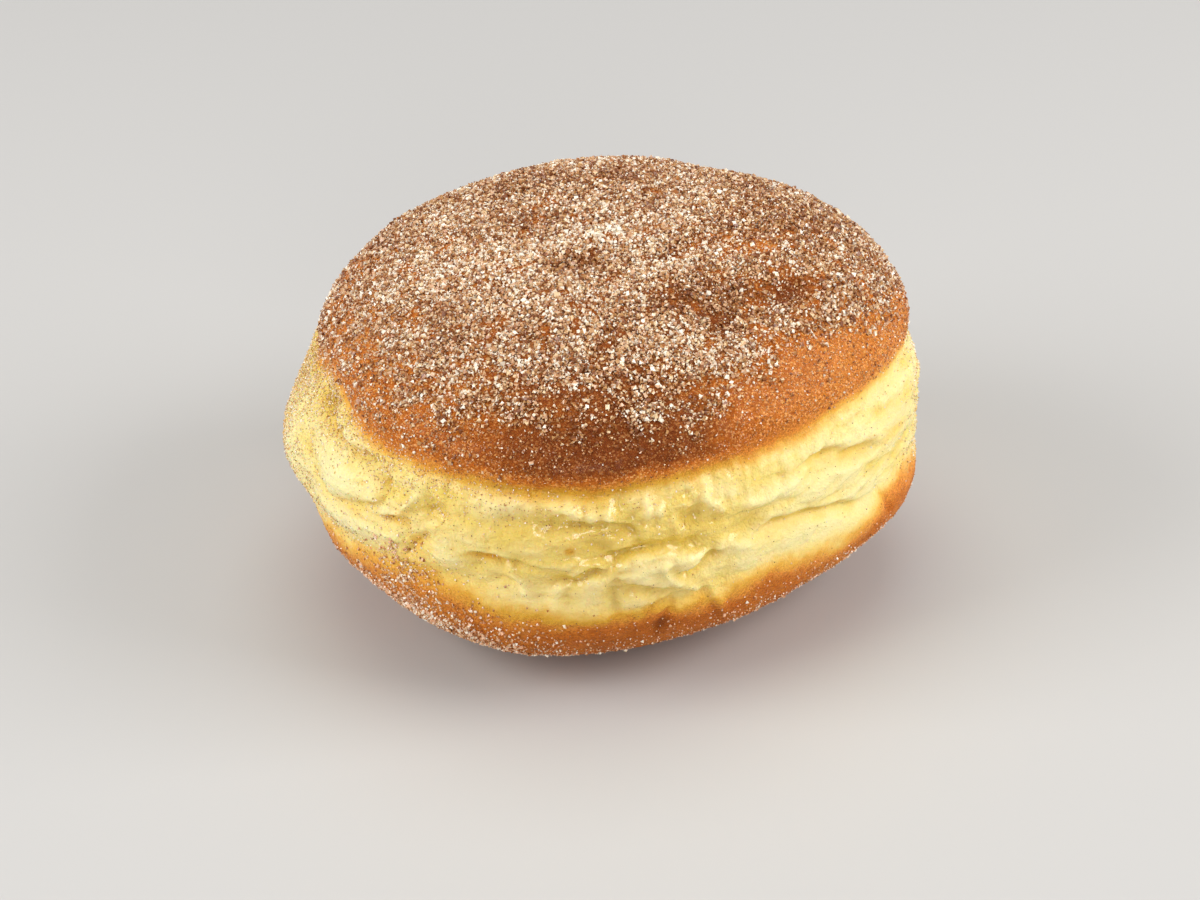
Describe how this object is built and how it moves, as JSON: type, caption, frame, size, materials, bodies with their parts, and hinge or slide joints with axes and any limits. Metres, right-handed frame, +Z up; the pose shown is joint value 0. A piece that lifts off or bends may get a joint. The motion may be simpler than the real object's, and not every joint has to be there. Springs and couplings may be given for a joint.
{
  "type": "jelly filled doughnut",
  "caption": "Round domed yeast doughnut, whole and uncut, with a brown sugared cap, a creased pale belly band and a browned flat foot.",
  "frame": {"origin": "on the resting surface, under the middle of the doughnut's box", "axes": "+Z up from the foot to the cap, -Y towards the side that shows the creased belly, +X towards the side where the cap is highest"},
  "size_m": [0.0904, 0.0902, 0.0538],
  "materials": {
    "fried_dough": "matte fried crust under granulated sugar and cinnamon, with a satin pale yellow belly band"
  },
  "bodies": {
    "root": {"doughnut": "fried_dough"}
  },
  "joints": []
}
